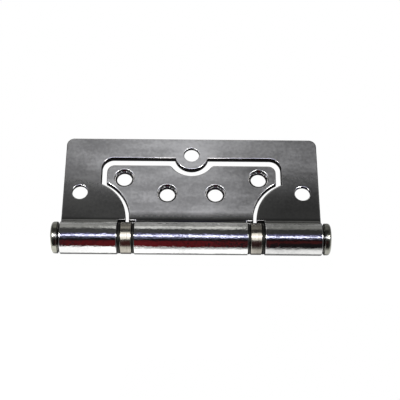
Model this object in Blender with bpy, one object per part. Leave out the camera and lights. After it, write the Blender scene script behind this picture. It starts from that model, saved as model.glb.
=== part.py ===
"""Butterfly (non-mortise) door hinge with a two-ball-bearing barrel.

The barrel lies along X and the closed leaves lie flat, one inside the window of the other.
Frame: metres, +Z up, origin at the bottom centre of the closed hinge's bounding box.
"""
import math

import bmesh
import bpy
from mathutils import Vector

# Leaves
LEAF_LENGTH = 0.1000  # along the barrel
OUTER_DEPTH = 0.0436  # barrel axis to the far edge of the outer leaf
INNER_DEPTH = 0.0314  # barrel axis to the far edge of the inner leaf
SHEET = 0.0025
FAR_CORNER_R = 0.0030

# Barrel
KNUCKLE_R = 0.00625
SWAGE_R = 0.0020  # hollow of the bend between plate and curl
CURL_GAP = 0.0003  # between the curl's end and the plate
CENTRE_KNUCKLE_END = 0.0216  # half the length of the inner leaf's knuckle
OUTER_KNUCKLE_START = 0.0280
SHOULDER_Y = 0.0070  # where each neck steps in to its knuckle, clear of the bearings

# Window of the outer leaf, and the inner leaf that nests in it
WINDOW_FAR_Y = 0.0346
WINDOW_HALF_WIDTH = 0.0353
WINDOW_CORNER_R = 0.0045
INNER_HALF_WIDTH = 0.0333
INNER_CORNER_R = 0.0030
LOBE_X = 0.0415  # the screw lobes of the outer leaf are round about (LOBE_X, LOBE_Y)
LOBE_Y = 0.0080
LOBE_R = 0.0162
LOBE_GAP = 0.0013
TAB_Y = 0.0364  # centre of the round tab that holds the outer leaf's middle screw
TAB_R = 0.0068
NOTCH_R = 0.0096
NOTCH_MOUTH_R = 0.0020

# Screw holes, each (x, y) for the right half, and their countersinks
OUTER_HOLES = [(0.0435, 0.0192)]
OUTER_CENTRE_HOLE = (0.0, 0.0363)
INNER_HOLES = [(0.0264, 0.0256), (0.0094, 0.0189)]
HOLE_R = 0.0030
COUNTERSINK_R = 0.0040

# Pin and caps
FIT_GAP = 0.0003
BORE_R = KNUCKLE_R - SHEET
PIN_R = BORE_R - FIT_GAP
PIN_HALF_LENGTH = 0.0460
PIN_CHAMFER = 0.0004
CAP_COLLAR_R = 0.0054
CAP_GROOVE = 0.00075  # between knuckle and cap head
CAP_R = 0.0061
CAP_HEAD = 0.0026
CAP_EDGE_R = 0.0014

# Ball bearings, one in each space between two knuckles
BEARING_X = (CENTRE_KNUCKLE_END + OUTER_KNUCKLE_START) / 2
SHELL_R = 0.00610
SHELL_WALL = 0.00035
SHELL_HALF_WIDTH = 0.00215
SHELL_LIP = 0.0003
SHELL_BEND = 0.0002
BALL_R = 0.00085
BALL_PITCH_R = 0.00465
BALLS_PER_BEARING = 12
BALL_PLAY = 0.0002
GROOVE_R = BALL_R + BALL_PLAY
RACE_R = SHELL_R - SHELL_WALL - FIT_GAP
RACE_NECK_R = 0.0049
RACE_BORE_GAP = 0.00035
RACE_INNER_R = PIN_R + RACE_BORE_GAP
RACE_FACE = 0.00078  # from the bearing's middle plane
RACE_FLANGE_END = SHELL_HALF_WIDTH - SHELL_LIP - FIT_GAP
WASHER_GAP = 0.0002  # from a race's washer to the shell's lip, and to the knuckle
WASHER_R = 0.0059
WASHER_START = SHELL_HALF_WIDTH + WASHER_GAP
RACE_END = OUTER_KNUCKLE_START - BEARING_X - WASHER_GAP

# The barrel axis in the part's frame
AXIS_Y = (KNUCKLE_R - OUTER_DEPTH) / 2
AXIS_Z = KNUCKLE_R

BARREL_STEP = math.radians(9)
CORNER_STEP = math.radians(15)
SMALL_STEP = math.radians(30)
TURNED_STEPS = 36
HOLE_STEPS = 24
CLEAR = 0.0020  # how far a cutter runs past what it cuts


def clear_scene():
    for obj in list(bpy.data.objects):
        bpy.data.objects.remove(obj, do_unlink=True)


def arc(centre, radius, start, end, step):
    """Points on a circle from one angle to another, with one at each whole step between."""
    way = 1 if end > start else -1
    first = math.floor(start * way / step + 1e-6) + 1
    last = math.ceil(end * way / step - 1e-6) - 1
    angles = [start] + [way * i * step for i in range(first, last + 1)] + [end]
    return [(centre[0] + radius * math.cos(a), centre[1] + radius * math.sin(a)) for a in angles]


def mirrored(half):
    """A closed outline from its right half, which runs from the middle line back to it."""
    left = [(-x, y) for x, y in reversed(half)]
    return half + [p for p in left if abs(p[0]) > 1e-9]


def strip_profile(depth, side):
    """(y, z) section of a leaf: plate, swage and curl. side is 1 if it curls over the top, else -1."""
    swage_z = SHEET / 2 + SWAGE_R
    swage_y = math.sqrt((KNUCKLE_R + SWAGE_R) ** 2 - swage_z ** 2)
    swage = (swage_y, swage_z)
    start = math.atan2(swage_z, swage_y)
    reach = math.hypot(swage_y, swage_z)
    touch = SWAGE_R + SHEET + CURL_GAP
    cosine = (KNUCKLE_R ** 2 + reach ** 2 - touch ** 2) / (2 * KNUCKLE_R * reach)
    end = 2 * math.pi + start - math.acos(cosine)
    far = depth + CLEAR
    quarter = math.pi / 2
    points = [(far, SHEET / 2)]
    points += arc(swage, SWAGE_R, -quarter, start - math.pi, CORNER_STEP)
    points += arc((0, 0), KNUCKLE_R, start, end, BARREL_STEP)[1:]
    points += arc((0, 0), BORE_R, end, start, BARREL_STEP)
    points += arc(swage, SWAGE_R + SHEET, start - math.pi, -quarter, CORNER_STEP)[1:]
    points += [(far, -SHEET / 2)]
    return [(y, side * z) for y, z in points]


def outer_outline():
    """(x, y) outline of the outer leaf: a plate with a window that is open to the barrel."""
    quarter = math.pi / 2
    half_length = LEAF_LENGTH / 2
    below = -KNUCKLE_R - CLEAR
    tab_end = math.asin((WINDOW_FAR_Y - TAB_Y) / TAB_R)
    corner = (WINDOW_HALF_WIDTH - WINDOW_CORNER_R, WINDOW_FAR_Y - WINDOW_CORNER_R)
    lobe_start = math.acos((WINDOW_HALF_WIDTH - LOBE_X) / LOBE_R)
    far_corner = (half_length - FAR_CORNER_R, OUTER_DEPTH - FAR_CORNER_R)
    half = arc((0, TAB_Y), TAB_R, -quarter, tab_end, CORNER_STEP)
    half += arc(corner, WINDOW_CORNER_R, quarter, 0, CORNER_STEP)
    half += arc((LOBE_X, LOBE_Y), LOBE_R, lobe_start, math.pi, CORNER_STEP / 2)
    half += [(LOBE_X - LOBE_R, SHOULDER_Y), (OUTER_KNUCKLE_START, SHOULDER_Y)]
    half += [(OUTER_KNUCKLE_START, below), (half_length, below)]
    half += arc(far_corner, FAR_CORNER_R, 0, quarter, CORNER_STEP)
    return mirrored(half)


def inner_outline():
    """(x, y) outline of the inner leaf, which follows the window and the tab at a small gap."""
    quarter = math.pi / 2
    side_r = LOBE_R + LOBE_GAP
    side_end = math.acos((INNER_HALF_WIDTH - LOBE_X) / side_r)
    corner = (INNER_HALF_WIDTH - INNER_CORNER_R, INNER_DEPTH - INNER_CORNER_R)
    mouth_y = INNER_DEPTH - NOTCH_MOUTH_R
    mouth_x = math.sqrt((NOTCH_R + NOTCH_MOUTH_R) ** 2 - (TAB_Y - mouth_y) ** 2)
    mouth_end = math.atan2(TAB_Y - mouth_y, -mouth_x)
    half = [(CENTRE_KNUCKLE_END, -KNUCKLE_R - CLEAR), (CENTRE_KNUCKLE_END, SHOULDER_Y)]
    half += [(LOBE_X - side_r, SHOULDER_Y)]
    half += arc((LOBE_X, LOBE_Y), side_r, math.pi, side_end, CORNER_STEP / 2)
    half += arc(corner, INNER_CORNER_R, 0, quarter, CORNER_STEP)
    half += arc((mouth_x, mouth_y), NOTCH_MOUTH_R, quarter, mouth_end, CORNER_STEP)
    half += arc((0, TAB_Y), NOTCH_R, mouth_end - math.pi, -quarter, CORNER_STEP)[1:]
    return mirrored(half)


def new_object(name, bm, material=None):
    """An object from a bmesh, with its round faces shaded smooth."""
    bmesh.ops.recalc_face_normals(bm, faces=bm.faces)
    if bm.calc_volume(signed=True) < 0:
        bmesh.ops.reverse_faces(bm, faces=bm.faces)
    mesh = bpy.data.meshes.new(name)
    bm.to_mesh(mesh)
    bm.free()
    mesh.shade_smooth()
    mesh.set_sharp_from_angle(angle=math.radians(30))
    obj = bpy.data.objects.new(name, mesh)
    bpy.context.scene.collection.objects.link(obj)
    if material:
        mesh.materials.append(material)
    return obj


def prism(name, points, offset, material=None):
    """The face through these points, extruded by offset."""
    bm = bmesh.new()
    face = bm.faces.new([bm.verts.new(p) for p in points])
    made = bmesh.ops.extrude_face_region(bm, geom=[face])
    moved = [v for v in made["geom"] if isinstance(v, bmesh.types.BMVert)]
    bmesh.ops.translate(bm, vec=offset, verts=moved)
    return new_object(name, bm, material)


def spin_profile(bm, profile, axis, centre, steps):
    """Turns an (along, radius) profile round an axis through centre, and closes it."""
    across = Vector((0, 1, 0)) if axis.x else Vector((1, 0, 0))
    centre = Vector(centre)
    verts = [bm.verts.new(centre + axis * along + across * radius) for along, radius in profile]
    edges = [bm.edges.new(pair) for pair in zip(verts, verts[1:])]
    if profile[0][1] > 0:
        edges.append(bm.edges.new((verts[-1], verts[0])))
    bmesh.ops.spin(bm, geom=verts + edges, cent=centre, axis=axis, angle=2 * math.pi,
                   steps=steps, use_merge=True)
    bmesh.ops.remove_doubles(bm, verts=bm.verts, dist=1e-7)


def turned(name, profile, material):
    """A piece turned about the barrel axis from its (x, radius) profile."""
    bm = bmesh.new()
    spin_profile(bm, profile, Vector((1, 0, 0)), (0, 0, 0), TURNED_STEPS)
    return new_object(name, bm, material)


def screw_hole_cutter(name, holes, side):
    """Drills and countersinks in one cutter. side is 1 where the countersinks open upwards."""
    deepest = SHEET / 2 - (COUNTERSINK_R - HOLE_R)
    profile = [(-side * (SHEET / 2 + CLEAR), 0), (-side * (SHEET / 2 + CLEAR), HOLE_R)]
    profile += [(side * deepest, HOLE_R), (side * (SHEET / 2 + CLEAR), COUNTERSINK_R + CLEAR)]
    profile += [(side * (SHEET / 2 + CLEAR), 0)]
    bm = bmesh.new()
    for x, y in holes:
        hole = bmesh.new()
        spin_profile(hole, profile, Vector((0, 0, 1)), (x, y, 0), HOLE_STEPS)
        mesh = bpy.data.meshes.new(name)
        hole.to_mesh(mesh)
        hole.free()
        bm.from_mesh(mesh)
        bpy.data.meshes.remove(mesh)
    return new_object(name, bm)


def cut(obj, cutter, operation):
    """Applies an exact Boolean to obj and removes the cutter."""
    modifier = obj.modifiers.new(operation.lower(), "BOOLEAN")
    modifier.operation = operation
    modifier.object = cutter
    graph = bpy.context.evaluated_depsgraph_get()
    result = bpy.data.meshes.new_from_object(obj.evaluated_get(graph))
    obj.modifiers.clear()
    obj.data = result
    bpy.data.objects.remove(cutter, do_unlink=True)


def make_leaf(name, depth, outline, holes, side, material):
    """The sheet strip with its curl, cut to the leaf's outline and drilled."""
    half = LEAF_LENGTH / 2 + CLEAR
    height = KNUCKLE_R + CLEAR
    section = [(-half, y, z) for y, z in strip_profile(depth, side)]
    leaf = prism(name, section, (2 * half, 0, 0), material)
    blank = prism(name + "_outline", [(x, y, -height) for x, y in outline], (0, 0, 2 * height))
    cut(leaf, blank, "INTERSECT")
    cut(leaf, screw_hole_cutter(name + "_holes", holes, -side), "DIFFERENCE")
    leaf.data.shade_smooth()
    leaf.data.set_sharp_from_angle(angle=math.radians(30))
    return leaf


def cap_profile():
    """(x, radius) of the right cap: a shank for the bore, a collar and a button head."""
    shank_start = PIN_HALF_LENGTH + FIT_GAP
    collar_start = LEAF_LENGTH / 2 + FIT_GAP
    head_start = LEAF_LENGTH / 2 + CAP_GROOVE
    head_end = head_start + CAP_HEAD
    edge = (head_end - CAP_EDGE_R, CAP_R - CAP_EDGE_R)
    profile = [(shank_start, 0), (shank_start, PIN_R - PIN_CHAMFER)]
    profile += [(shank_start + PIN_CHAMFER, PIN_R), (collar_start, PIN_R)]
    profile += [(collar_start, CAP_COLLAR_R), (head_start, CAP_COLLAR_R), (head_start, CAP_R)]
    profile += arc(edge, CAP_EDGE_R, math.pi / 2, 0, SMALL_STEP)
    profile += [(head_end, 0)]
    return profile


def pin_profile():
    end = PIN_HALF_LENGTH
    tip = PIN_R - PIN_CHAMFER
    shoulder = end - PIN_CHAMFER
    return [(-end, 0), (-end, tip), (-shoulder, PIN_R), (shoulder, PIN_R), (end, tip), (end, 0)]


def shell_profile():
    """(offset from the bearing's middle, radius) of the pressed shell with its turned-in lips."""
    inside = SHELL_HALF_WIDTH - SHELL_LIP
    lip_r = RACE_NECK_R + FIT_GAP
    bend = SHELL_BEND
    wall_r = SHELL_R - SHELL_WALL
    profile = [(-SHELL_HALF_WIDTH, lip_r), (-SHELL_HALF_WIDTH, SHELL_R - bend)]
    profile += [(bend - SHELL_HALF_WIDTH, SHELL_R), (SHELL_HALF_WIDTH - bend, SHELL_R)]
    profile += [(SHELL_HALF_WIDTH, SHELL_R - bend), (SHELL_HALF_WIDTH, lip_r)]
    profile += [(inside, lip_r), (inside, wall_r), (-inside, wall_r), (-inside, lip_r)]
    return profile


def race_profile():
    """(offset from the bearing's middle, radius) of a race.

    Its inner face has the ball groove, and its neck carries a washer outside the shell's lip.
    """
    lip = math.acos(RACE_FACE / GROOVE_R)
    profile = [(RACE_END, RACE_INNER_R), (RACE_FACE, RACE_INNER_R)]
    profile += arc((0, BALL_PITCH_R), GROOVE_R, -lip, lip, SMALL_STEP)
    profile += [(RACE_FACE, RACE_R), (RACE_FLANGE_END, RACE_R)]
    profile += [(RACE_FLANGE_END, RACE_NECK_R), (WASHER_START, RACE_NECK_R)]
    profile += [(WASHER_START, WASHER_R), (RACE_END, WASHER_R)]
    return profile


def placed(profile, side, middle=0.0):
    """The profile moved out to middle, and mirrored for the left side, where side is -1."""
    return [(side * (x + middle), radius) for x, radius in profile]


def metal(name, colour, roughness):
    material = bpy.data.materials.new(name)
    material.use_nodes = True
    shader = material.node_tree.nodes["Principled BSDF"]
    shader.inputs["Base Color"].default_value = (*colour, 1.0)
    shader.inputs["Roughness"].default_value = roughness
    shader.inputs["Metallic"].default_value = 1.0
    material.diffuse_color = (*colour, 1.0)
    return material


def joint_empty(name, parent=None):
    """An empty on the barrel axis, which its pieces turn about."""
    empty = bpy.data.objects.new(name, None)
    bpy.context.scene.collection.objects.link(empty)
    if parent:
        empty.parent = parent
    else:
        empty.location = (0, AXIS_Y, AXIS_Z)
    return empty


def make_balls(side_name, middle, material, parent):
    bm = bmesh.new()
    bmesh.ops.create_icosphere(bm, subdivisions=2, radius=BALL_R)
    first = new_object(f"ball_{side_name}_01", bm, material)
    mesh = first.data
    for number in range(1, BALLS_PER_BEARING + 1):
        ball = first
        if number > 1:
            ball = bpy.data.objects.new(f"ball_{side_name}_{number:02d}", mesh)
            bpy.context.scene.collection.objects.link(ball)
        angle = 2 * math.pi * (number - 1) / BALLS_PER_BEARING
        ball.location = (middle, BALL_PITCH_R * math.cos(angle), BALL_PITCH_R * math.sin(angle))
        ball.parent = parent


def make_bearing(side_name, side, fixed, swing, steel, shell_steel):
    """A shell, two races and a ring of balls. The race next to the centre knuckle turns with it."""
    middle = side * BEARING_X
    shell = turned(f"bearing_shell_{side_name}", placed(shell_profile(), 1, middle), shell_steel)
    shell.parent = fixed
    outer_race = placed(race_profile(), side, BEARING_X)
    race = turned(f"fixed_race_{side_name}", outer_race, steel)
    race.parent = fixed
    inner_race = [(side * (BEARING_X - x), radius) for x, radius in race_profile()]
    race = turned(f"moving_race_{side_name}", inner_race, steel)
    race.parent = swing
    make_balls(side_name, middle, steel, joint_empty(f"ball_ring_{side_name}", fixed))


def main():
    clear_scene()
    chrome = metal("satin_chrome", (0.46, 0.47, 0.47), 0.28)
    cap_chrome = metal("cap_chrome", (0.42, 0.42, 0.39), 0.22)
    shell_steel = metal("bearing_shell_steel", (0.47, 0.45, 0.40), 0.32)
    steel = metal("bearing_steel", (0.50, 0.50, 0.50), 0.15)
    fixed = joint_empty("barrel_axis")
    swing = joint_empty("leaf_swing", fixed)

    outer_holes = [OUTER_CENTRE_HOLE] + [(s * x, y) for x, y in OUTER_HOLES for s in (-1, 1)]
    inner_holes = [(s * x, y) for x, y in INNER_HOLES for s in (-1, 1)]
    outer = make_leaf("outer_leaf", OUTER_DEPTH, outer_outline(), outer_holes, 1, chrome)
    outer.parent = fixed
    inner = make_leaf("inner_leaf", INNER_DEPTH, inner_outline(), inner_holes, -1, chrome)
    inner.parent = swing

    turned("hinge_pin", pin_profile(), steel).parent = fixed
    for side_name, side in (("left", -1), ("right", 1)):
        turned(f"cap_{side_name}", placed(cap_profile(), side), cap_chrome).parent = fixed
        make_bearing(side_name, side, fixed, swing, steel, shell_steel)


main()
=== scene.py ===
"""Looks of the butterfly door hinge: fine pressed leaves, turned barrel pieces and a small white studio."""
import math
import bmesh
import bpy
from mathutils import Matrix, Vector
from mathutils.geometry import delaunay_2d_cdt


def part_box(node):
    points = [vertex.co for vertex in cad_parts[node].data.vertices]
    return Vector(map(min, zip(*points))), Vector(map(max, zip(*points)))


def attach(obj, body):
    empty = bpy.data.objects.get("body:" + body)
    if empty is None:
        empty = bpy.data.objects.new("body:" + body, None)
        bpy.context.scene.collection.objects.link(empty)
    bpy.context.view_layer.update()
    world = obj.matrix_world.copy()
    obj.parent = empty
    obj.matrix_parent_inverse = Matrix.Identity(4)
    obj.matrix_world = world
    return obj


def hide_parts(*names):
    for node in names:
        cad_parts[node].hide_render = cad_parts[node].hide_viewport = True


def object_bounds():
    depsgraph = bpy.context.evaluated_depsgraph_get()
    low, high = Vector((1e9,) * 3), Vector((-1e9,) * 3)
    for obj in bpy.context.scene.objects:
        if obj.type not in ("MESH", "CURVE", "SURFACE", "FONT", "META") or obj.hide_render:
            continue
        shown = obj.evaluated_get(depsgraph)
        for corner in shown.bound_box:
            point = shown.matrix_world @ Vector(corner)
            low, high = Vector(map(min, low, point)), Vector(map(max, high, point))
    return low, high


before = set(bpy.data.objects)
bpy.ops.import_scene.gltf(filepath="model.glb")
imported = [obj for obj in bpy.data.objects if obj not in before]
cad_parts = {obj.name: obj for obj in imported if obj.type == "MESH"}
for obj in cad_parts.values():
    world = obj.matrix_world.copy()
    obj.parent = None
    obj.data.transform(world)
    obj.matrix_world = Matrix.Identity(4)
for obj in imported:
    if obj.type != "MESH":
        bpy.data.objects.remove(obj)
CAD_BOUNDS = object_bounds()

# From the frame: the barrel axis and the leaves' overall sizes
PIN_LOW, PIN_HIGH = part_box("hinge_pin")
AXIS = Vector((0, (PIN_LOW.y + PIN_HIGH.y) / 2, (PIN_LOW.z + PIN_HIGH.z) / 2))
HALF_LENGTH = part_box("outer_leaf")[1].x
OUTER_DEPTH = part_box("outer_leaf")[1].y - AXIS.y
INNER_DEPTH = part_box("inner_leaf")[1].y - AXIS.y
KNUCKLE_R = AXIS.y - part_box("outer_leaf")[0].y
CENTRE_KNUCKLE_END = 0.0216
OUTER_KNUCKLE_START = 0.0280

# Sheet
SHEET = 0.0025
SWAGE_R = 0.0020
CURL_GAP = 0.0003
SHOULDER_Y = 0.0070
FAR_CORNER_R = 0.0030
ROLL_R = 0.00048  # rounded edge on the punch's side
BURR_R = 0.00012  # sharper edge on the die's side
EDGE_FLAT = 0.00006  # flat margin kept beside each rounded edge
CORNER_CLEAR = 0.0008  # outline points are only added further from a corner than this
RIM_SHARE = 0.12  # how much of the rounded edge, from the top, is its worn rim
HAIR = 1e-7  # shorter than any real edge

# Window, lobes, tab and notch
WINDOW_FAR_Y = 0.0346
WINDOW_HALF_WIDTH = 0.0353
WINDOW_CORNER_R = 0.0045
INNER_HALF_WIDTH = 0.0333
INNER_CORNER_R = 0.0030
LOBE_X = 0.0415
LOBE_Y = 0.0080
LOBE_R = 0.0162
LOBE_GAP = 0.0013
TAB_Y = 0.0364
TAB_R = 0.0068
NOTCH_R = 0.0096
NOTCH_MOUTH_R = 0.0020

# Screw holes
OUTER_HOLES = [(0.0, 0.0363), (-0.0435, 0.0192), (0.0435, 0.0192)]
INNER_HOLES = [(-0.0264, 0.0256), (-0.0094, 0.0189), (0.0094, 0.0189), (0.0264, 0.0256)]
HOLE_R = 0.0030
COUNTERSINK_R = 0.0040
SINK_RIM = 0.0001  # small bevel where the countersink meets the face and the bore
HOLE_ROLL_R = 0.0003
# The walls of holes and countersinks are dark partly from their dull punched colour and partly from painted
# shade.
BORE_WALL = 0.85  # how dark a hole's wall is, as a share of a punched edge
SINK_WALL = 0.7  # and its countersink

# Barrel pieces
FIT_GAP = 0.0003
BORE_R = KNUCKLE_R - SHEET
PIN_R = BORE_R - FIT_GAP
PIN_HALF_LENGTH = PIN_HIGH.x
CAP_COLLAR_R = 0.0054
CAP_GROOVE = 0.00075
CAP_R = 0.0061
CAP_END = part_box("cap_right")[1].x
CAP_BACK_DROP = 0.0001
CAP_BACK_LENGTH = 0.00015
CAP_CROWN = 0.00022
CAP_BULGE_LENGTH = 0.0011
CAP_BULGE_DEPTH = 0.0013
CAP_BULGE_STEPS = 8
CAP_DOME_STEPS = 6
CHAMFER = 0.0004
TURNED_EDGE_R = 0.0001
BEARING_X = (CENTRE_KNUCKLE_END + OUTER_KNUCKLE_START) / 2
SHELL_R = 0.0061
SHELL_WALL = 0.00035
SHELL_HALF_WIDTH = 0.00215
SHELL_LIP = 0.0003
SHELL_EDGE_R = 0.00032
BALL_R = 0.00085
BALL_PITCH_R = 0.00465
BALLS_PER_BEARING = 12
BALL_PLAY = 0.0002
GROOVE_R = BALL_R + BALL_PLAY
RACE_R = SHELL_R - SHELL_WALL - FIT_GAP
RACE_NECK_R = 0.0049
RACE_BORE_GAP = 0.00035
RACE_INNER_R = PIN_R + RACE_BORE_GAP
RACE_FACE = 0.00078
RACE_FLANGE_END = SHELL_HALF_WIDTH - SHELL_LIP - FIT_GAP
WASHER_GAP = 0.0002
WASHER_R = 0.0059
WASHER_START = SHELL_HALF_WIDTH + WASHER_GAP
RACE_END = OUTER_KNUCKLE_START - BEARING_X - WASHER_GAP
RACE_EDGE_R = 0.00012

# Mesh fineness, and the limits of corner rounding
QUARTER = math.pi / 2
FINE_STEP = math.radians(4)
GROOVE_STEP = math.radians(12)
HOLE_STEPS = 72
TURNED_STEPS = 96
NEARLY_STRAIGHT = math.radians(170)
CORNER_ROOM = 0.42  # the most of a profile's straight that a rounding takes up at each end
STRAIGHT_ROOM = 1.1  # and how far, beside that, the straight kept next to it may reach

# Metals: a light and a dark colour, then what they share. Noise scales are in waves per metre
CHROME_TONES = ((0.77, 0.77, 0.76), (0.54, 0.54, 0.535))
CAP_TONES = ((0.36, 0.36, 0.32), (0.25, 0.25, 0.21))
SHELL_TONES = ((0.35, 0.33, 0.29), (0.21, 0.195, 0.165))
STEEL_TONES = ((0.045, 0.045, 0.040), (0.020, 0.020, 0.018))
# Dark edges: the dull colour of punched walls, and also painted shade in the walls of slots, holes and
# countersinks and in the hollows of turned pieces
DULL_EDGE_AND_SHADE_DARK = (0.115, 0.110, 0.110)
DULL_EDGE_AND_SHADE_LIGHT = (0.19, 0.18, 0.18)
# Painted shade in the crease beside the knuckles: its colour and how far it darkens
CREASE_SHADE_COLOUR = (0.02, 0.02, 0.02)
CREASE_SHADE_DEPTH = 0.62
WORN_GAIN = 1.35
# Painted shade in crevices: the colour left where ambient occlusion is full, as a share of the light tone
PAINTED_SHADE_SHARE = 0.06
BLOTCH_SCALE = 60
SMEAR_SCALE = 170
WEAR_SCALE = 420
MOTTLE_SCALE = 800
WAVE_SCALE = 1100
RIPPLE_SCALE = 3000
GRAIN_SCALE = 3200
RING_SCALE = 5200
GRAIN = 0.25
WAVE = 1.3
POLISH = 0.06  # roughness of the knuckles
OUTER_POLISH_ZONE = (0.010, 0.032)
INNER_POLISH_ZONE = (0.0066, 0.0110)
EDGE_ROUGHNESS = 0.14
DULLEST_X = -0.010
END_SHINE = 0.125

# Camera: where it is from the barrel's middle, and its turns in degrees
CAMERA_PLACE = Vector((-0.00049, -0.15538, 0.32955))
CAMERA_YAW = -1.295
CAMERA_TILT = 27.57
CAMERA_ROLL = 1.601
SENSOR_WIDTH = 36
LENS = 85.64

# Studio. Angles are in degrees about the barrel: 0 is behind the hinge, 90 overhead, 180 in front
HALF_TURN = 180
WHITE = (1.0, 1.0, 1.0)
BLACK = (0.0, 0.0, 0.0)
WALL_GREY = (0.39, 0.39, 0.375)
CEILING = (0.066, 0.066, 0.066)
NIGHT = (0.008, 0.008, 0.010)
SIDE_GREY = (0.10, 0.10, 0.10)
END_GREY = (0.30, 0.30, 0.30)
CAP_END_GREY = (0.01, 0.009, 0.008)
RED = (0.115, 0.004, 0.005)
FAINT_RED = (0.046, 0.006, 0.005)
NEARLY_BLACK = (0.006, 0.004, 0.004)
STRIP_COLOUR = (0.74, 0.75, 1.0)
LIGHT_COLOUR = (1.0, 1.0, 0.98)
WALL_STOPS = [(0, (0.33, 0.33, 0.32)), (22, WALL_GREY), (34, WALL_GREY), (47, CEILING), (80, CEILING),
              (92, (0.13, 0.12, 0.30)), (103, (0.02, 0.02, 0.09)), (114, NIGHT), (180, NIGHT)]
SCREEN_STOPS = [(0, BLACK), (130, BLACK), (137, RED), (174, RED)]
LEFT_SCREEN_STOPS = SCREEN_STOPS + [(179, (1.2, 1.2, 1.2))]
RIGHT_SCREEN_STOPS = [(0, BLACK), (126, BLACK), (131, FAINT_RED), (142, FAINT_RED),
                      (150, NEARLY_BLACK), (180, NEARLY_BLACK)]
RIGHT_DIM = 0.62
FLOOR_HALF = 5
FLOOR_GAP = 0.0002


# ---------------------------------------------------------------- outlines and edges

def arc(centre, radius, start, end, step=FINE_STEP):
    """Evenly spaced points on a circle from one angle to another."""
    count = max(1, math.ceil(abs(end - start) / step - 1e-6))
    angles = [start + (end - start) * i / count for i in range(count + 1)]
    return [(centre[0] + radius * math.cos(a), centre[1] + radius * math.sin(a)) for a in angles]


def mirrored(half):
    """The right half of an outline and its mirror image, with no point on the middle twice."""
    left = [(-x, y) for x, y in reversed(half)]
    return half + [p for p in left if abs(p[0]) > 1e-9]


class Bend:
    """The leaf's bend: s runs along the sheet's middle from the far edge to the end of the curl."""

    def __init__(self, side):
        self.side = side
        self.swage_z = SHEET / 2 + SWAGE_R
        self.swage_y = math.sqrt((KNUCKLE_R + SWAGE_R) ** 2 - self.swage_z ** 2)
        self.start = math.atan2(self.swage_z, self.swage_y)
        self.swage_mid = SWAGE_R + SHEET / 2
        self.curl_mid = KNUCKLE_R - SHEET / 2
        self.curl_s = self.swage_y - self.swage_mid * (QUARTER - self.start)
        reach = math.hypot(self.swage_y, self.swage_z)
        touch = SWAGE_R + SHEET + CURL_GAP
        cosine = (KNUCKLE_R ** 2 + reach ** 2 - touch ** 2) / (2 * KNUCKLE_R * reach)
        self.end_s = self.curl_s - self.curl_mid * (2 * math.pi - math.acos(cosine))

    def rows(self):
        """The s values where the bent part of the mesh is divided."""
        swage = math.ceil((QUARTER - self.start) / FINE_STEP)
        curl = math.ceil((self.curl_s - self.end_s) / self.curl_mid / FINE_STEP)
        rows = [self.swage_y + 2 * EDGE_FLAT]
        rows += [self.swage_y + (self.curl_s - self.swage_y) * i / swage for i in range(swage)]
        rows += [self.curl_s + (self.end_s - self.curl_s) * i / curl for i in range(curl)]
        return rows

    def place(self, x, s, w):
        """A point of the flat blank, w above the sheet's middle, in the row frame."""
        w *= self.side
        if s >= self.swage_y:
            y, z = s, w
        elif s >= self.curl_s:
            a = -QUARTER - (self.swage_y - s) / self.swage_mid
            y = self.swage_y + (self.swage_mid - w) * math.cos(a)
            z = self.swage_z + (self.swage_mid - w) * math.sin(a)
        else:
            a = self.start + (self.curl_s - s) / self.curl_mid
            y = (self.curl_mid + w) * math.cos(a)
            z = (self.curl_mid + w) * math.sin(a)
        return Vector((x, y, self.side * z)) + AXIS


def outer_outline(end_s):
    """The frame leaf's blank: tab, window, lobes, knuckle ends and far edge, anticlockwise."""
    tab_end = math.asin((WINDOW_FAR_Y - TAB_Y) / TAB_R)
    corner = (WINDOW_HALF_WIDTH - WINDOW_CORNER_R, WINDOW_FAR_Y - WINDOW_CORNER_R)
    lobe_start = math.acos((WINDOW_HALF_WIDTH - LOBE_X) / LOBE_R)
    half = arc((0, TAB_Y), TAB_R, -QUARTER, tab_end)
    half += arc(corner, WINDOW_CORNER_R, QUARTER, 0)
    half += arc((LOBE_X, LOBE_Y), LOBE_R, lobe_start, math.pi)
    half += [(LOBE_X - LOBE_R, SHOULDER_Y), (OUTER_KNUCKLE_START, SHOULDER_Y)]
    half += [(OUTER_KNUCKLE_START, end_s), (HALF_LENGTH, end_s)]
    half += arc((HALF_LENGTH - FAR_CORNER_R, OUTER_DEPTH - FAR_CORNER_R), FAR_CORNER_R, 0, QUARTER)
    return mirrored(half)


def inner_outline(end_s):
    """The door leaf's blank: knuckle end, curved side, far corner and notch, anticlockwise."""
    side_r = LOBE_R + LOBE_GAP
    side_end = math.acos((INNER_HALF_WIDTH - LOBE_X) / side_r)
    corner = (INNER_HALF_WIDTH - INNER_CORNER_R, INNER_DEPTH - INNER_CORNER_R)
    mouth_y = INNER_DEPTH - NOTCH_MOUTH_R
    mouth_x = math.sqrt((NOTCH_R + NOTCH_MOUTH_R) ** 2 - (TAB_Y - mouth_y) ** 2)
    mouth_end = math.atan2(TAB_Y - mouth_y, -mouth_x)
    half = [(CENTRE_KNUCKLE_END, end_s), (CENTRE_KNUCKLE_END, SHOULDER_Y)]
    half += [(LOBE_X - side_r, SHOULDER_Y)]
    half += arc((LOBE_X, LOBE_Y), side_r, math.pi, side_end)
    half += arc(corner, INNER_CORNER_R, 0, QUARTER)
    half += arc((mouth_x, mouth_y), NOTCH_MOUTH_R, QUARTER, mouth_end)
    half += arc((0, TAB_Y), NOTCH_R, mouth_end - math.pi, -QUARTER)[1:]
    return mirrored(half)


def with_rows(outline, rows):
    """The outline with a point added wherever one of its edges crosses a row, clear of its corners."""
    points = []
    for a, b in zip(outline, outline[1:] + outline[:1]):
        if math.dist(a, b) < HAIR:
            continue
        points.append(a)
        low, high = sorted((a[1], b[1]))
        crossed = [s for s in rows if low + CORNER_CLEAR < s < high - CORNER_CLEAR]
        crossed.sort(reverse=a[1] > b[1])
        points += [(a[0] + (b[0] - a[0]) * (s - a[1]) / (b[1] - a[1]), s) for s in crossed]
    return points


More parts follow.
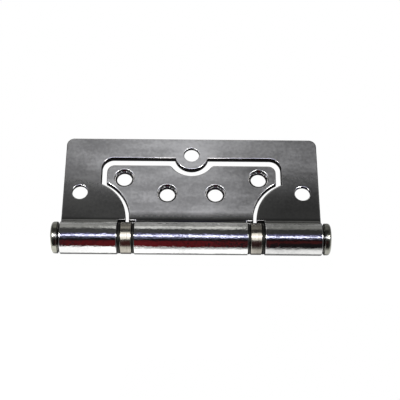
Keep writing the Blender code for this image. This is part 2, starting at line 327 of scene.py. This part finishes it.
def inset(outline, distance):
    """The outline moved into the sheet, with mitred corners. The outline runs anticlockwise."""
    moved = []
    count = len(outline)
    for i, p in enumerate(outline):
        before = Vector(p) - Vector(outline[i - 1])
        after = Vector(outline[(i + 1) % count]) - Vector(p)
        n1 = Vector((-before.y, before.x)).normalized()
        n2 = Vector((-after.y, after.x)).normalized()
        moved.append(Vector(p) + (n1 + n2) * distance / (1 + n1.dot(n2)))
    return moved


def edge_section():
    """(inset, height) of a punched edge from the sheet's upper face to its lower one."""
    half = SHEET / 2
    top = [(ROLL_R + EDGE_FLAT, half)]
    top += arc((ROLL_R, half - ROLL_R), ROLL_R, QUARTER, math.pi, QUARTER / 6)
    bottom = arc((BURR_R, BURR_R - half), BURR_R, math.pi, 1.5 * math.pi, QUARTER / 2)
    return top + bottom + [(BURR_R + EDGE_FLAT, -half)]


def hole_section(countersunk_above):
    """(radius, height) of a screw hole from the sheet's upper face to its lower one."""
    half = SHEET / 2
    cone_end = half - (COUNTERSINK_R - HOLE_R)
    sink = [(COUNTERSINK_R + SINK_RIM + EDGE_FLAT, half), (COUNTERSINK_R + SINK_RIM, half)]
    sink += [(COUNTERSINK_R, half - SINK_RIM / 3), (COUNTERSINK_R - SINK_RIM, half - SINK_RIM)]
    sink += [(HOLE_R + SINK_RIM / 2, cone_end + SINK_RIM / 2), (HOLE_R, cone_end - SINK_RIM)]
    roll = BURR_R if countersunk_above else HOLE_ROLL_R
    plain = [(HOLE_R + roll + EDGE_FLAT, half)]
    plain += arc((HOLE_R + roll, half - roll), roll, QUARTER, math.pi, QUARTER / 4)
    above, below = (sink, plain) if countersunk_above else (plain, sink)
    return above + [(r, -z) for r, z in reversed(below)]


def row_ends(loop, s, near=0.00015):
    """Where a row crosses the outline: the outline's own point there, or else one just inside it."""
    crossings = []
    for a, b in zip(loop, loop[1:] + loop[:1]):
        if (a[1] > s) != (b[1] > s):
            crossings.append(a[0] + (b[0] - a[0]) * (s - a[1]) / (b[1] - a[1]))
    ends = []
    for i, x in enumerate(sorted(crossings)):
        own = [k for k, p in enumerate(loop) if abs(p[1] - s) < 1e-8 and abs(p[0] - x) < 1e-6]
        ends.append((own[0], None) if own else (None, x + (near if i % 2 == 0 else -near)))
    return ends


def fill(bm, loops, verts, rows, bend, height):
    """Triangles of one flat side of the blank, between its outline and its holes."""
    points, owners, edges = [], [], []
    for loop, loop_verts in zip(loops, verts):
        first = len(points)
        points += [Vector(p) for p in loop]
        owners += loop_verts
        edges += [(first + i, first + (i + 1) % len(loop)) for i in range(len(loop))]
    for s in rows:
        ends = []
        for own, x in row_ends(loops[0], s):
            if own is None:
                own = len(points)
                points.append(Vector((x, s)))
                owners.append(bm.verts.new(bend.place(x, s, height)))
            ends.append(own)
        edges += list(zip(ends[::2], ends[1::2]))
    out_points, _, faces, origins = delaunay_2d_cdt(points, edges, [], 0, 1e-9)[:4]
    for face in faces:
        middle = sum((out_points[i] for i in face), Vector((0, 0))) / len(face)
        if inside(middle, loops[0]) and not any(inside(middle, hole) for hole in loops[1:]):
            bm.faces.new([owners[origins[i][0]] for i in face])


def inside(point, loop):
    """Whether a point lies inside a closed loop, by the even-odd rule."""
    odd = False
    x, y = point
    for a, b in zip(loop, loop[1:] + loop[:1]):
        if (a[1] > y) != (b[1] > y) and x < (b[0] - a[0]) * (y - a[1]) / (b[1] - a[1]) + a[0]:
            odd = not odd
    return odd


def add_object(name, bm, material):
    """A smooth-shaded object from a closed mesh, with its faces turned outwards."""
    bmesh.ops.recalc_face_normals(bm, faces=bm.faces)
    if bm.calc_volume(signed=True) < 0:
        bmesh.ops.reverse_faces(bm, faces=bm.faces)
    mesh = bpy.data.meshes.new(name)
    bm.to_mesh(mesh)
    bm.free()
    mesh.shade_smooth()
    mesh.materials.append(material)
    obj = bpy.data.objects.new(name, mesh)
    bpy.context.scene.collection.objects.link(obj)
    return obj


def stitch(bm, rings):
    """Quads between each ring of vertices and the next."""
    for upper, lower in zip(rings, rings[1:]):
        count = len(upper)
        for i in range(count):
            j = (i + 1) % count
            bm.faces.new((upper[i], lower[i], lower[j], upper[j]))


def add_rings(bm, bend, section, loop_at, marks, wall_at):
    """Rings of vertices down a punched edge, marked where it is a worn rim or a dark wall. loop_at
    gives a ring's loop from the section's offset, and wall_at how dark the wall is at a height."""
    rim, wall = marks
    face = SHEET / 2 - HAIR
    wall_top = SHEET / 2 - RIM_SHARE * ROLL_R
    loops, rings = [], []
    for offset, height in section:
        loop = [tuple(p) for p in loop_at(offset)]
        ring = [bm.verts.new(bend.place(x, s, height)) for x, s in loop]
        for vert in ring:
            vert[rim] = 1.0 if wall_top < height < face else 0.0
            vert[wall] = wall_at(height) if -face < height <= wall_top else 0.0
        loops.append(loop)
        rings.append(ring)
    stitch(bm, rings)
    return loops[0], rings[0], loops[-1], rings[-1]


def make_leaf(name, outline_of, holes, side, material):
    """Cuts the flat blank with rounded punched edges, drills it and rolls its knuckles."""
    bend = Bend(side)
    rows = bend.rows()
    outline = with_rows(outline_of(bend.end_s), rows)
    bm = bmesh.new()
    marks = (bm.verts.layers.float.new("rim"), bm.verts.layers.float.new("wall"))
    edges = [add_rings(bm, bend, edge_section(), lambda offset: inset(outline, offset), marks,
                       lambda height: 1.0)]
    cone_end = SHEET / 2 - (COUNTERSINK_R - HOLE_R)

    def hole_wall(height):
        return BORE_WALL if -side * height < cone_end else SINK_WALL

    turn = [2 * math.pi * i / HOLE_STEPS for i in range(HOLE_STEPS)]
    for x, y in holes:
        def circle(radius):
            return [(x + radius * math.cos(a), y + radius * math.sin(a)) for a in turn]

        edges.append(add_rings(bm, bend, hole_section(side < 0), circle, marks, hole_wall))
    upper_loops, upper_rings, lower_loops, lower_rings = (list(column) for column in zip(*edges))
    fill(bm, upper_loops, upper_rings, rows, bend, SHEET / 2)
    fill(bm, lower_loops, lower_rings, rows, bend, -SHEET / 2)
    return add_object(name, bm, material)


# ---------------------------------------------------------------- turned pieces

def soften(points, radius, margin=0.00004):
    """A profile with its corners rounded, and a short straight kept beside each rounding."""
    result = [points[0]]
    for a, p, b in zip(points, points[1:], points[2:]):
        a, p, b = Vector(a), Vector(p), Vector(b)
        u, v = (a - p).normalized(), (b - p).normalized()
        turn = u.angle(v)
        if turn > NEARLY_STRAIGHT:
            result.append(tuple(p))
            continue
        room = CORNER_ROOM * min((a - p).length, (b - p).length)
        tangent = min(radius / math.tan(turn / 2), room)
        r = tangent * math.tan(turn / 2)
        centre = p + (u + v).normalized() * (r / math.sin(turn / 2))
        first, last = p + u * tangent, p + v * tangent
        start = math.atan2(first.y - centre.y, first.x - centre.x)
        sweep = math.atan2(last.y - centre.y, last.x - centre.x) - start
        sweep = (sweep + math.pi) % (2 * math.pi) - math.pi
        straight = min(tangent + margin, room * STRAIGHT_ROOM)
        result.append(tuple(p + u * straight))
        result += arc(tuple(centre), r, start, start + sweep, QUARTER / 4)
        result.append(tuple(p + v * straight))
    return result + [points[-1]]


def closed_soften(points, radius):
    """The same for a closed profile, which ends where it starts."""
    middle = tuple((Vector(points[-1]) + Vector(points[0])) / 2)
    return soften([middle] + points + [middle], radius)[:-1]


def turned(name, profile, material):
    """A piece turned about the barrel axis from its (x, radius) profile."""
    bm = bmesh.new()
    solid = profile[0][1] < 1e-9
    angles = [2 * math.pi * i / TURNED_STEPS for i in range(TURNED_STEPS)]
    rings = []
    for x, radius in profile:
        if radius < 1e-9:
            rings.append([bm.verts.new(Vector((x, 0, 0)) + AXIS)])
            continue
        ring = [Vector((x, radius * math.cos(a), radius * math.sin(a))) + AXIS for a in angles]
        rings.append([bm.verts.new(p) for p in ring])
    if not solid:
        rings.append(rings[0])
    for a, b in zip(rings, rings[1:]):
        for i in range(TURNED_STEPS):
            j = (i + 1) % TURNED_STEPS
            corners = [a[i % len(a)], b[i % len(b)], b[j % len(b)], a[j % len(a)]]
            bm.faces.new(list(dict.fromkeys(corners)))
    return add_object(name, bm, material)


def cap_profile():
    """The right cap: a shank in the bore, a collar in the groove, and a head with a domed end."""
    shank_start = PIN_HALF_LENGTH + FIT_GAP
    collar_start = HALF_LENGTH + FIT_GAP
    head_start = HALF_LENGTH + CAP_GROOVE
    profile = [(shank_start, 0), (shank_start, PIN_R - CHAMFER), (shank_start + CHAMFER, PIN_R)]
    profile += [(collar_start, PIN_R), (collar_start, CAP_COLLAR_R), (head_start, CAP_COLLAR_R)]
    profile += [(head_start, CAP_R - CAP_BACK_DROP), (head_start + CAP_BACK_LENGTH, CAP_R)]
    edge_x = CAP_END - CAP_CROWN - CAP_BULGE_LENGTH
    edge_r = CAP_R - CAP_BULGE_DEPTH
    for i in range(CAP_BULGE_STEPS + 1):
        a = QUARTER * i / CAP_BULGE_STEPS
        profile.append((edge_x + CAP_BULGE_LENGTH * math.sin(a), edge_r + CAP_BULGE_DEPTH * math.cos(a)))
    for k in reversed(range(CAP_DOME_STEPS)):
        r = edge_r * k / CAP_DOME_STEPS
        profile.append((CAP_END - CAP_CROWN * (r / edge_r) ** 2, r))
    return soften(profile, TURNED_EDGE_R)


def pin_profile():
    """The pin, chamfered at both ends."""
    end, tip, shoulder = PIN_HALF_LENGTH, PIN_R - CHAMFER, PIN_HALF_LENGTH - CHAMFER
    profile = [(-end, 0), (-end, tip), (-shoulder, PIN_R), (shoulder, PIN_R), (end, tip), (end, 0)]
    return soften(profile, TURNED_EDGE_R)


def shell_profile():
    """A pressed ring with a lip turned in on each side, about the bearing's middle."""
    inside_x = SHELL_HALF_WIDTH - SHELL_LIP
    lip_r = RACE_NECK_R + FIT_GAP
    wall_r = SHELL_R - SHELL_WALL
    outside = [(-SHELL_HALF_WIDTH, lip_r), (-SHELL_HALF_WIDTH, SHELL_R)]
    outside += [(SHELL_HALF_WIDTH, SHELL_R), (SHELL_HALF_WIDTH, lip_r)]
    inside_points = [(inside_x, lip_r), (inside_x, wall_r), (-inside_x, wall_r), (-inside_x, lip_r)]
    return closed_soften(outside + inside_points, SHELL_EDGE_R)


def race_profile():
    """The right race of a bearing: a ball groove, a flange in the shell and a washer outside it."""
    lip = math.acos(RACE_FACE / GROOVE_R)
    profile = [(RACE_END, RACE_INNER_R), (RACE_FACE, RACE_INNER_R)]
    profile += arc((0, BALL_PITCH_R), GROOVE_R, -lip, lip, GROOVE_STEP)
    profile += [(RACE_FACE, RACE_R), (RACE_FLANGE_END, RACE_R)]
    profile += [(RACE_FLANGE_END, RACE_NECK_R), (WASHER_START, RACE_NECK_R)]
    profile += [(WASHER_START, WASHER_R), (RACE_END, WASHER_R)]
    return closed_soften(profile, RACE_EDGE_R)


# ---------------------------------------------------------------- materials

class Nodes:
    """A short way to write a node tree."""

    def __init__(self, tree):
        self.tree = tree

    def add(self, kind, inputs=None, **settings):
        """A node, with a value or a link for each of its inputs."""
        node = self.tree.nodes.new(kind)
        for name, value in settings.items():
            setattr(node, name, value)
        for key, value in (inputs or {}).items():
            if isinstance(value, bpy.types.NodeSocket):
                self.tree.links.new(value, node.inputs[key])
            else:
                node.inputs[key].default_value = value
        return node

    def math(self, operation, a, b=0.0, c=0.0):
        return self.add("ShaderNodeMath", {0: a, 1: b, 2: c}, operation=operation).outputs[0]

    def ramp(self, value, low, high, to_low=0.0, to_high=1.0):
        """A smooth step from to_low at low to to_high at high."""
        inputs = {"Value": value, "From Min": low, "From Max": high, "To Min": to_low, "To Max": to_high}
        return self.add("ShaderNodeMapRange", inputs, interpolation_type="SMOOTHSTEP").outputs[0]

    def noise(self, vector, scale, detail=3.0, stretch=(1, 1, 1)):
        mapped = self.add("ShaderNodeMapping", {"Vector": vector, "Scale": stretch})
        inputs = {"Vector": mapped.outputs[0], "Scale": scale, "Detail": detail}
        return self.add("ShaderNodeTexNoise", inputs).outputs[0]

    def swing(self, value, amount):
        """A noise turned into a change of up to about half the amount either way."""
        return self.math("MULTIPLY", self.math("SUBTRACT", value, 0.5), amount)

    def mix(self, factor, a, b):
        return self.add("ShaderNodeMix", {0: factor, 2: a, 3: b}, data_type="FLOAT").outputs[0]

    def blend(self, factor, a, b):
        """A mix of two colours, each a socket or an RGB triple."""
        node = self.add("ShaderNodeMix", {0: factor}, data_type="RGBA")
        for socket, value in ((node.inputs[6], a), (node.inputs[7], b)):
            if isinstance(value, bpy.types.NodeSocket):
                self.tree.links.new(value, socket)
            else:
                socket.default_value = (*value, 1.0)
        return node.outputs[2]


def new_material(name):
    """An empty material and its nodes."""
    material = bpy.data.materials.new(name)
    material.use_nodes = True
    material.node_tree.nodes.clear()
    return material, Nodes(material.node_tree)


def distance_from_axis(n, where):
    """How far a point is from the barrel's axis."""
    parts = n.add("ShaderNodeSeparateXYZ", {0: where})
    y = n.math("SUBTRACT", parts.outputs[1], AXIS.y)
    z = n.math("SUBTRACT", parts.outputs[2], AXIS.z)
    return n.math("SQRT", n.math("ADD", n.math("MULTIPLY", y, y), n.math("MULTIPLY", z, z)))


def edge_marks(n, leaf):
    """How much a point is on a worn rim, and on a dark edge: a leaf's mesh says it, and on a turned
    piece it follows from the shape, where the dark mark is painted shade in its concave hollows."""
    if leaf:
        marks = [n.add("ShaderNodeAttribute", attribute_name=name) for name in ("rim", "wall")]
        return [mark.outputs["Fac"] for mark in marks]
    point = n.add("ShaderNodeNewGeometry").outputs["Pointiness"]
    # On a turned piece, concave places get painted shade through the dark mark.
    return [n.ramp(point, 0.505, 0.56), n.ramp(point, 0.5, 0.4, 0.0, 0.6)]


def plating(n, where, tones, smears, mottle, brushed):
    """The plating's colour: blotches, smears and mottle, and fine turned rings where it is brushed."""
    light, dark = tones
    blotches = n.noise(where, BLOTCH_SCALE, 4)
    tone = n.math("ADD", n.math("MULTIPLY", blotches, 0.45), n.math("MULTIPLY", smears, 0.3))
    tone = n.math("ADD", tone, n.math("MULTIPLY", mottle, 0.25))
    if brushed:
        tone = n.mix(brushed, tone, n.noise(where, RING_SCALE, 2, (1, 0.015, 0.015)))
    return n.blend(n.ramp(tone, 0.38, 0.62), dark, light)


def aged(n, where, away, base, light, edges, mottle, shade_reach):
    """The plating's colour with worn rims, dark edges that are partly painted shade, painted shade in the
    crease beside the knuckles, and painted shade where ambient occlusion finds crevices.
    """
    rim, wall = edges
    worn = n.math("MULTIPLY", rim, n.ramp(n.noise(where, WEAR_SCALE, 3), 0.35, 0.6, 0.25, 0.9))
    base = n.blend(worn, base, tuple(min(1.0, c * WORN_GAIN) for c in light))
    # Dark edges: partly the dull colour of the punched walls themselves, partly painted shade in the walls
    # of slots, holes and countersinks, and in the hollows of turned pieces
    punched = n.blend(n.ramp(mottle, 0.40, 0.62), DULL_EDGE_AND_SHADE_DARK, DULL_EDGE_AND_SHADE_LIGHT)
    base = n.blend(wall, base, punched)
    # Painted shade: a dark band in the crease beside the knuckles, where the swage meets the barrel
    crease = n.math("MULTIPLY", n.ramp(away, 1.4 * KNUCKLE_R, 1.15 * KNUCKLE_R),
                    n.ramp(away, 1.01 * KNUCKLE_R, 1.04 * KNUCKLE_R))
    base = n.blend(n.math("MULTIPLY", crease, CREASE_SHADE_DEPTH), base, CREASE_SHADE_COLOUR)
    # Painted shade: the colour darkens where ambient occlusion finds nearby surfaces, in crevices and next
    # to other parts
    crevice = n.add("ShaderNodeAmbientOcclusion", {"Distance": shade_reach}, samples=12)
    unshaded = n.ramp(crevice.outputs["AO"], 0.3, 0.95)
    unshaded = n.math("MAXIMUM", unshaded, n.math("MULTIPLY", wall, 0.6))
    return n.blend(unshaded, tuple(c * PAINTED_SHADE_SHARE for c in light), base)


def roughness(n, where, away, satin, polish_zone, smears, mottle, wall):
    """The uneven roughness. A leaf is also smoother towards its ends, and polished near the barrel."""
    rough = satin
    if polish_zone:
        across = n.math("SUBTRACT", n.add("ShaderNodeSeparateXYZ", {0: where}).outputs[0], DULLEST_X)
        ends = n.ramp(n.math("ABSOLUTE", across), 0.004, 0.052)
        rough = n.math("SUBTRACT", satin, n.math("MULTIPLY", ends, END_SHINE))
    rough = n.math("ADD", rough, n.swing(mottle, 0.10))
    rough = n.math("ADD", rough, n.swing(smears, 0.14))
    if polish_zone:
        zone = n.add("ShaderNodeMapRange", {"Value": away, "From Min": polish_zone[0],
                                            "From Max": polish_zone[1], "To Min": 1, "To Max": 0})
        rough = n.mix(zone.outputs[0], rough, POLISH)
    return n.mix(n.ramp(wall, 0.0, 0.3), rough, EDGE_ROUGHNESS)


def relief(n, where, away, mottle, leaf):
    """The surface's normal: fine grain, and on a leaf's knuckles the slow waves of rolled sheet."""
    fine = n.noise(where, GRAIN_SCALE, 2)
    height = n.math("ADD", n.math("MULTIPLY", fine, 0.5), n.math("MULTIPLY", mottle, 1.1))
    bump = n.add("ShaderNodeBump", {"Strength": GRAIN, "Distance": 0.00002, "Height": height})
    if leaf:
        ripples = n.noise(where, RIPPLE_SCALE, 2, (0.3, 1, 1))
        waves = n.math("ADD", n.noise(where, WAVE_SCALE, 3, (0.45, 1, 1)),
                       n.math("MULTIPLY", ripples, 0.35))
        waves = n.math("MULTIPLY", waves, n.ramp(away, KNUCKLE_R * 1.1, KNUCKLE_R * 1.02))
        bump = n.add("ShaderNodeBump", {"Strength": WAVE, "Distance": 0.00005, "Height": waves,
                                        "Normal": bump.outputs[0]})
    return bump.outputs[0]


def metal(name, tones, satin, polish_zone=None, shade_reach=0.004, brushed=0.0):
    """Plated metal. tones are its light and its dark colour, and satin is its roughness.

    A leaf's metal has a polish_zone, a pair of distances from the barrel axis: it is polished nearer
    than the first, and satin beyond the second.
    """
    material, n = new_material(name)
    where = n.add("ShaderNodeTexCoord").outputs["Object"]
    away = distance_from_axis(n, where)
    smears = n.noise(where, SMEAR_SCALE, 5, (0.35, 1, 1))
    mottle = n.noise(where, MOTTLE_SCALE, 3)
    leaf = polish_zone is not None
    edges = edge_marks(n, leaf)
    base = plating(n, where, tones, smears, mottle, brushed)
    inputs = {"Base Color": aged(n, where, away, base, tones[0], edges, mottle, shade_reach),
              "Metallic": 1.0,
              "Roughness": roughness(n, where, away, satin, polish_zone, smears, mottle, edges[1]),
              "Normal": relief(n, where, away, mottle, leaf)}
    shader = n.add("ShaderNodeBsdfPrincipled", inputs)
    n.add("ShaderNodeOutputMaterial", {0: shader.outputs[0]})
    return material


# ---------------------------------------------------------------- studio

def make_camera():
    """Looks down at the closed hinge from the barrel's side, as the product picture does."""
    data = bpy.data.cameras.new("camera")
    data.sensor_width = SENSOR_WIDTH
    data.lens = LENS
    camera = bpy.data.objects.new("camera", data)
    bpy.context.scene.collection.objects.link(camera)
    yaw = Matrix.Rotation(math.radians(CAMERA_YAW), 4, "Z")
    tilt = Matrix.Rotation(math.radians(CAMERA_TILT), 4, "X")
    roll = Matrix.Rotation(math.radians(CAMERA_ROLL), 4, "Z")
    camera.matrix_world = Matrix.Translation(AXIS + CAMERA_PLACE) @ yaw @ tilt @ roll
    bpy.context.scene.camera = camera


def reflected_floor(n):
    """How bright the floor is in reflections: shaded under the hinge, brighter in front of the
    barrel's axis than behind it, dimmer at the right, and dimmer far in front except at the left."""
    where = n.add("ShaderNodeTexCoord").outputs["Object"]
    parts = n.add("ShaderNodeSeparateXYZ", {0: where})
    x, y = parts.outputs[0], parts.outputs[1]
    front = n.ramp(y, AXIS.y - 1.7 * KNUCKLE_R, AXIS.y - 1.2 * KNUCKLE_R)
    back = n.ramp(y, CAD_BOUNDS[1].y + KNUCKLE_R, CAD_BOUNDS[1].y)
    ends = n.ramp(n.math("ABSOLUTE", x), HALF_LENGTH + KNUCKLE_R, HALF_LENGTH)
    under = n.math("MULTIPLY", n.math("MULTIPLY", front, back), ends)
    shaded = n.math("SUBTRACT", 1.0, n.math("MULTIPLY", under, 0.90))
    right = n.ramp(x, OUTER_KNUCKLE_START * 0.6, OUTER_KNUCKLE_START * 1.1, 1.0, RIGHT_DIM)
    behind = n.ramp(y, AXIS.y, AXIS.y + KNUCKLE_R, 1.75, 0.5)
    far = n.ramp(y, AXIS.y - 0.010, AXIS.y - 0.075)
    far = n.math("MULTIPLY", far, n.ramp(x, -0.032, -0.022, 0.0, 0.75))
    strength = n.math("MULTIPLY", n.math("MULTIPLY", shaded, right), behind)
    return n.math("MULTIPLY", strength, n.math("SUBTRACT", 1.0, far))


def make_floor():
    """A table that is white to the camera, and as reflected_floor says in reflections."""
    bm = bmesh.new()
    bmesh.ops.create_grid(bm, x_segments=1, y_segments=1, size=FLOOR_HALF)
    material, n = new_material("floor_white")
    seen = n.add("ShaderNodeLightPath").outputs["Is Camera Ray"]
    strength = n.math("MAXIMUM", reflected_floor(n), seen)
    shader = n.add("ShaderNodeEmission", {"Color": (1, 1, 1, 1), "Strength": strength})
    n.add("ShaderNodeOutputMaterial", {0: shader.outputs[0]})
    mesh = bpy.data.meshes.new("floor")
    bm.to_mesh(mesh)
    bm.free()
    mesh.materials.append(material)
    floor = bpy.data.objects.new("floor", mesh)
    floor.location = (0, 0, CAD_BOUNDS[0].z - FLOOR_GAP)
    bpy.context.scene.collection.objects.link(floor)


def by_angle(n, share, stops):
    """Colours by the angle about the barrel, each stop a (degrees, colour)."""
    ramp = n.add("ShaderNodeValToRGB", {0: share})
    elements = ramp.color_ramp.elements
    while len(elements) < len(stops):
        elements.new(0.5)
    for element, (degrees, colour) in zip(elements, stops):
        element.position = degrees / HALF_TURN
        element.color = (*colour, 1.0)
    return ramp.outputs[0]


def band(n, share, rise, fall):
    """1 between two soft edges and 0 outside them, each edge a pair of angles in degrees."""
    edges = [n.ramp(share, a / HALF_TURN, b / HALF_TURN) for a, b in (rise, fall)]
    return n.math("MULTIPLY", *edges)


def walls(n, share, sideways):
    """A grey wall behind, a dark ceiling and darkness in front, dimmer at the right. Both sides are an
    even dark grey, and lighter at the ends."""
    aside = n.math("ABSOLUTE", sideways)
    colour = by_angle(n, share, WALL_STOPS)
    colour = n.blend(n.ramp(sideways, 0.045, 0.08, 1.0, RIGHT_DIM), BLACK, colour)
    colour = n.blend(n.ramp(aside, 0.2, 0.35), colour, SIDE_GREY)
    return n.blend(n.ramp(aside, 0.78, 0.93), colour, END_GREY)


def red_screen(n, share, sideways):
    """A dark red screen in front. It has a white foot at the left, it is almost black at the right,
    and it ends before the left cap and at both sides."""
    screen = n.blend(n.ramp(sideways, -0.085, -0.065), by_angle(n, share, LEFT_SCREEN_STOPS),
                     by_angle(n, share, SCREEN_STOPS))
    screen = n.blend(n.ramp(sideways, 0.02, 0.045), screen, by_angle(n, share, RIGHT_SCREEN_STOPS))
    screen = n.blend(n.ramp(sideways, -0.146, -0.139), CAP_END_GREY, screen)
    return n.blend(n.ramp(n.math("ABSOLUTE", sideways), 0.18, 0.3), screen, BLACK)


def strip_light(n, share, sideways):
    """A narrow bright strip over the barrel in a wide soft glow. The strip is turned a little to the
    back at the left, and the glow is strongest a little left of the middle."""
    turned_back = n.math("ADD", share, n.ramp(sideways, -0.02, 0.06, 4.0 / HALF_TURN, 0.0))
    strip = band(n, turned_back, (95, 99), (107, 102))
    strip = n.math("MULTIPLY", strip, n.ramp(sideways, -0.10, -0.05, 2.2, 3.1))
    middle = n.math("MULTIPLY", n.ramp(sideways, -0.105, -0.065), n.ramp(sideways, 0.03, -0.03))
    glow = n.math("MULTIPLY", band(n, share, (80, 96), (122, 106)),
                  n.math("MULTIPLY_ADD", middle, 0.30, 0.12))
    colour = n.blend(n.math("ADD", strip, glow), BLACK, STRIP_COLOUR)
    colour.node.clamp_factor = False
    return colour


def make_world():
    """What the hinge reflects: walls, a red screen in front and a strip light over the barrel. They
    vary with the angle about the barrel and with how far sideways they lie. The camera sees white."""
    world = bpy.data.worlds.new("studio")
    world.use_nodes = True
    world.node_tree.nodes.clear()
    n = Nodes(world.node_tree)
    direction = n.add("ShaderNodeTexCoord").outputs["Generated"]
    parts = n.add("ShaderNodeSeparateXYZ", {0: direction})
    sideways = parts.outputs[0]
    share = n.math("DIVIDE", n.math("ARCTAN2", parts.outputs[2], parts.outputs[1]), math.pi)
    total = walls(n, share, sideways)
    for added in (red_screen(n, share, sideways), strip_light(n, share, sideways)):
        total = n.add("ShaderNodeVectorMath", {0: total, 1: added}, operation="ADD").outputs[0]
    seen = n.add("ShaderNodeLightPath").outputs["Is Camera Ray"]
    background = n.add("ShaderNodeBackground", {"Color": n.blend(seen, total, WHITE), "Strength": 1.0})
    n.add("ShaderNodeOutputWorld", {0: background.outputs[0]})
    bpy.context.scene.world = world


def make_light(name, place, aim, size, radiance, lit=None):
    """A rectangular soft light, given by its radiance. lit is the collection it lights, if not all."""
    data = bpy.data.lights.new(name, "AREA")
    data.shape = "RECTANGLE"
    data.size, data.size_y = size
    data.energy = radiance * math.pi * data.size * data.size_y
    data.color = LIGHT_COLOUR
    light = bpy.data.objects.new(name, data)
    light.location = AXIS + Vector(place)
    light.rotation_euler = (Vector(place) - Vector(aim)).to_track_quat("Z", "Y").to_euler()
    light.visible_camera = False
    light.light_linking.receiver_collection = lit
    bpy.context.scene.collection.objects.link(light)


def make_lights(shells):
    """Panels high at both sides for the flats, low ones at both ends for the countersinks, a weak
    softbox behind, and a wide one that lights the bearing shells only. Places are from the axis."""
    plates = (0, 0.03, 0)
    make_light("left_panel", (-0.19, -0.040, 0.35), plates, (0.12, 0.10), 18.5)
    make_light("right_panel", (0.19, -0.040, 0.35), plates, (0.12, 0.10), 21.0)
    make_light("low_left_panel", (-0.36, 0.05, 0.07), plates, (0.10, 0.08), 1.5)
    make_light("low_right_panel", (0.36, 0.05, 0.07), plates, (0.10, 0.08), 1.5)
    make_light("back_softbox", (-0.010, 0.215, 0.15), plates, (0.09, 0.10), 0.45)
    make_light("shell_softbox", (0, -0.067, 0.35), (0, -0.067, 0), (0.18, 0.32), 3.0, shells)


# ---------------------------------------------------------------- assembly

def fit(piece, body, slot, *nodes):
    """Puts a piece on the body it rides on, and hides the CAD nodes it replaces. Its slot is not used."""
    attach(piece, body)
    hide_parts(*nodes)


def make_balls(side_name, side, material):
    """One bearing's ring of balls, which share one mesh."""
    bm = bmesh.new()
    bmesh.ops.create_icosphere(bm, subdivisions=3, radius=BALL_R)
    first = add_object(f"bearing_ball_{side_name}_01", bm, material)
    mesh = first.data
    for number in range(1, BALLS_PER_BEARING + 1):
        ball = first
        if number > 1:
            ball = bpy.data.objects.new(f"bearing_ball_{side_name}_{number:02d}", mesh)
            bpy.context.scene.collection.objects.link(ball)
        angle = 2 * math.pi * (number - 1) / BALLS_PER_BEARING
        around = Vector((0, BALL_PITCH_R * math.cos(angle), BALL_PITCH_R * math.sin(angle)))
        ball.location = AXIS + Vector((side * BEARING_X, 0, 0)) + around
        fit(ball, f"balls_{side_name}", "bearing_steel", f"ball_{side_name}_{number:02d}")


def make_barrel():
    """Everything on the barrel axis but the leaves. It returns a collection of the bearing shells."""
    cap_metal = metal("cap_chrome_fine", CAP_TONES, 0.15, shade_reach=0.0010)
    shell_metal = metal("shell_nickel", SHELL_TONES, 0.22, shade_reach=0.0015, brushed=0.5)
    steel = metal("race_steel", STEEL_TONES, 0.45)
    shells = bpy.data.collections.new("shells")
    fit(turned("pin", pin_profile(), steel), "frame_side", "bearing_steel", "hinge_pin")
    for side_name, side in (("left", -1), ("right", 1)):
        cap = turned(f"end_cap_{side_name}", [(side * x, r) for x, r in cap_profile()], cap_metal)
        fit(cap, "frame_side", "cap_chrome", f"cap_{side_name}")
        middle = side * BEARING_X
        shell = turned(f"shell_{side_name}", [(middle + x, r) for x, r in shell_profile()], shell_metal)
        fit(shell, "frame_side", "bearing_shell_steel", f"bearing_shell_{side_name}")
        shells.objects.link(shell)
        fixed = [(middle + side * x, r) for x, r in race_profile()]
        fit(turned(f"race_fixed_{side_name}", fixed, steel), "frame_side", "bearing_steel",
            f"fixed_race_{side_name}")
        moving = [(middle - side * x, r) for x, r in race_profile()]
        fit(turned(f"race_moving_{side_name}", moving, steel), "door_side", "bearing_steel",
            f"moving_race_{side_name}")
        make_balls(side_name, side, steel)
    return shells


def make_leaves():
    """The outer leaf, and the inner leaf that nests in its window."""
    outer_chrome = metal("outer_leaf_chrome", CHROME_TONES, 0.48, OUTER_POLISH_ZONE)
    inner_chrome = metal("inner_leaf_chrome", CHROME_TONES, 0.44, INNER_POLISH_ZONE)
    outer = make_leaf("leaf_outer", outer_outline, OUTER_HOLES, 1, outer_chrome)
    fit(outer, "frame_side", "satin_chrome", "outer_leaf")
    inner = make_leaf("leaf_inner", inner_outline, INNER_HOLES, -1, inner_chrome)
    fit(inner, "door_side", "satin_chrome", "inner_leaf")


make_camera()
make_floor()
make_world()
bpy.context.scene.view_settings.view_transform = "Standard"
make_leaves()
make_lights(make_barrel())
